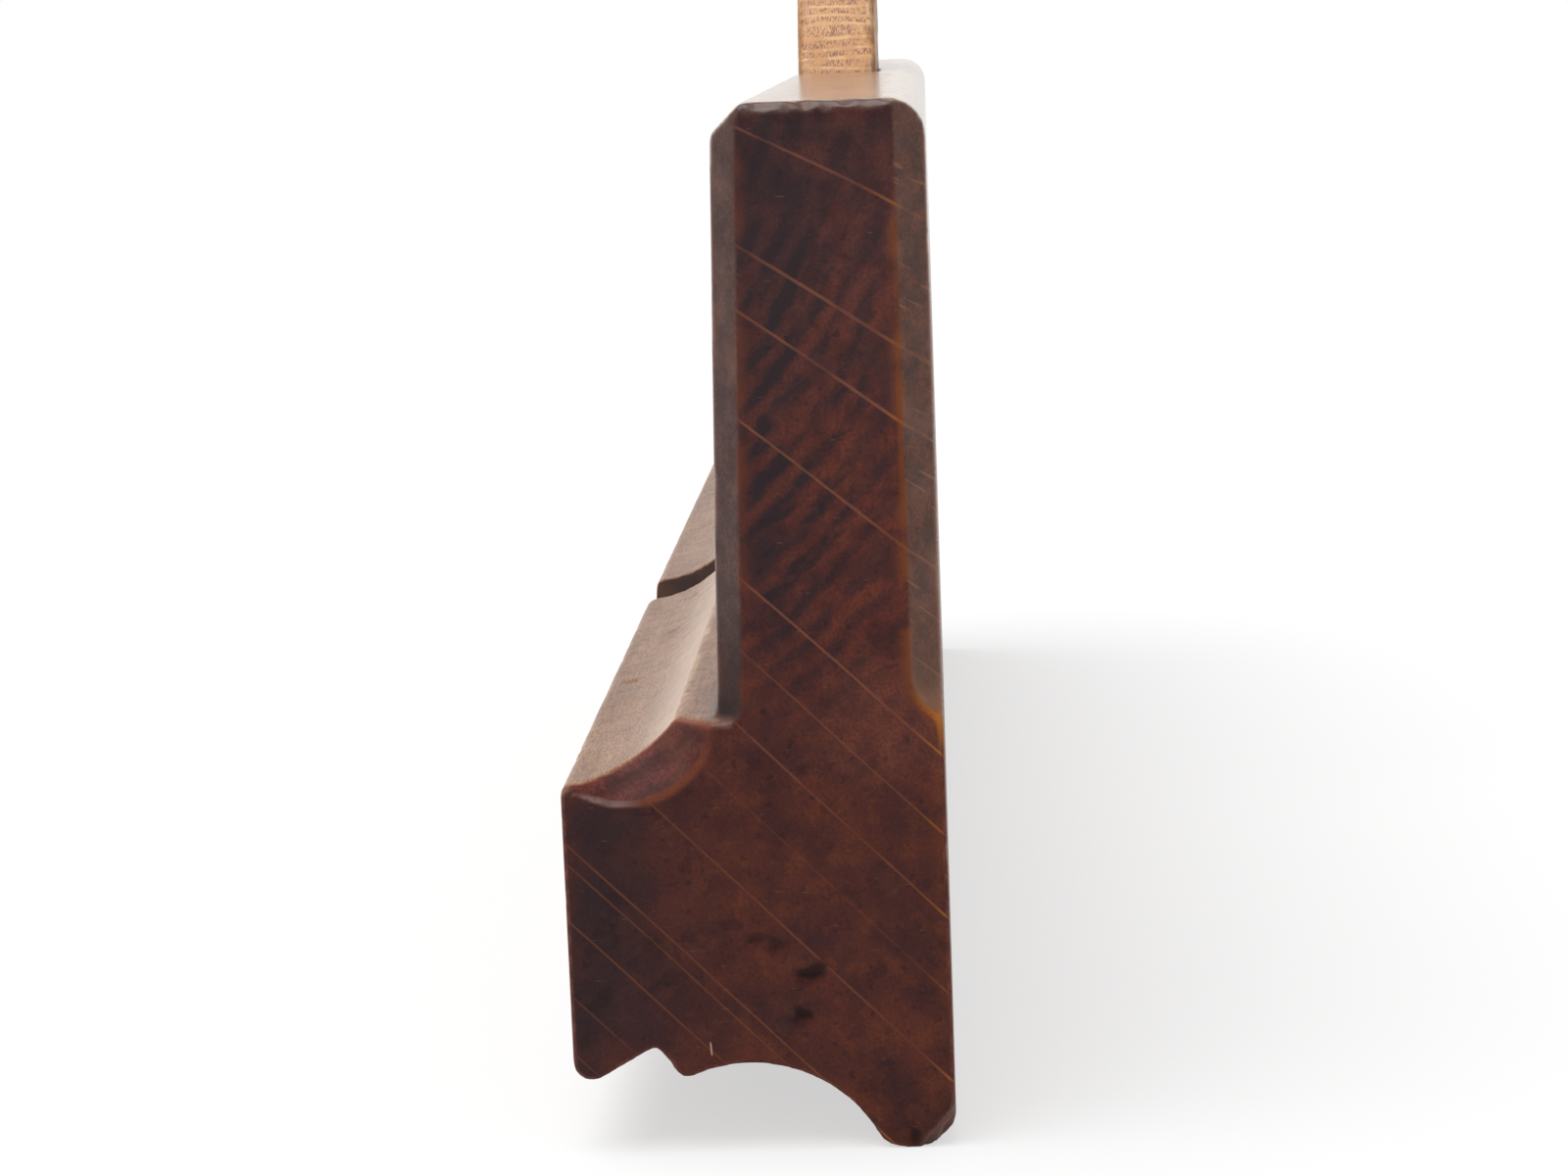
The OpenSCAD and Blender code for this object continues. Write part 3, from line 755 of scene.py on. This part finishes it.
# Studio: a white sweep that the plane stands on, lit softly from above and the open side,
# with a dimmer room on the near side.
FLOOR_SIZE = 12.0
SUN_WAY = Vector((-0.3, -0.15, 0.94))
bpy.ops.mesh.primitive_plane_add(size=FLOOR_SIZE, location=(0, 0, cad_box[0].z))
floor = bpy.context.object
floor.name = "floor"
shader, start = finish_of(floor, "white_sweep")
shader.inputs["Base Color"].default_value = (0.9, 0.9, 0.9, 1)
shader.inputs["Roughness"].default_value = 1.0
shader.inputs["Specular IOR Level"].default_value = 0.0
seen = start.node("LightPath", output="Is Camera Ray")
place = start.node("TexCoord", output="Object")
away = start.node("VectorMath", {"operation": "LENGTH"}, {0: place}, output="Value")
white = start.node("Emission", inputs={"Color": (1, 1, 1, 1), "Strength": 1.0})
lit = Shade(start.tree, shader.outputs[0])
whiter = seen * (0.6 + 0.4 * away.rise(0.15, 0.6))
shown = start.node("MixShader", inputs={0: whiter, 1: lit, 2: white})
output = start.tree.nodes["Material Output"]
start.tree.links.new(shown.socket, output.inputs["Surface"])

world = bpy.data.worlds.new("studio")
bpy.context.scene.world = world
world.use_nodes = True
background = world.node_tree.nodes["Background"]
background.inputs["Color"].default_value = (1, 1, 1, 1)
start = Shade(world.node_tree)
camera_ray, glossy_ray, clear_ray = start.node(
    "LightPath", output=("Is Camera Ray", "Is Glossy Ray", "Is Transmission Ray")
)
way = start.split(start.node("TexCoord", output="Generated"))
room = 0.2 + 0.8 * way[1].rise(-0.9, -0.1)
shows = camera_ray.most(clear_ray)
strength = 0.5 * (1.0 - shows.most(glossy_ray)) + shows + room * glossy_ray * (1.0 - shows)
world.node_tree.links.new(strength.socket, background.inputs["Strength"])

sun = bpy.data.objects.new("skylight", bpy.data.lights.new("skylight", "SUN"))
bpy.context.scene.collection.objects.link(sun)
sun.data.energy = 2.4
sun.data.angle = math.radians(50)
sun.rotation_euler = SUN_WAY.to_track_quat("Z", "Y").to_euler()

# Camera: a long lens in front of the toe, a little above it and over the blind side.
CAMERA_PLACE = Vector((16.46, -413.58, 95.69)) * MM
CAMERA_PITCH = math.radians(9.096)
CAMERA_YAW = math.radians(-2.567)
CAMERA_ROLL = math.radians(-2.199)
ahead = Vector((
    math.sin(CAMERA_YAW) * math.cos(CAMERA_PITCH),
    math.cos(CAMERA_YAW) * math.cos(CAMERA_PITCH),
    -math.sin(CAMERA_PITCH),
))
level = Vector((math.cos(CAMERA_YAW), -math.sin(CAMERA_YAW), 0))
above = level.cross(ahead)
right = math.cos(CAMERA_ROLL) * level + math.sin(CAMERA_ROLL) * above
top = math.cos(CAMERA_ROLL) * above - math.sin(CAMERA_ROLL) * level
camera = bpy.data.objects.new("camera", bpy.data.cameras.new("camera"))
bpy.context.scene.collection.objects.link(camera)
camera.data.sensor_width = 36.0
camera.data.lens = 81.84
camera.data.clip_start = 0.01
camera.data.clip_end = 100.0
turn = Matrix((right, top, -ahead)).transposed().to_4x4()
camera.matrix_world = Matrix.Translation(CAMERA_PLACE) @ turn
bpy.context.scene.camera = camera
bpy.context.scene.view_settings.view_transform = "Standard"
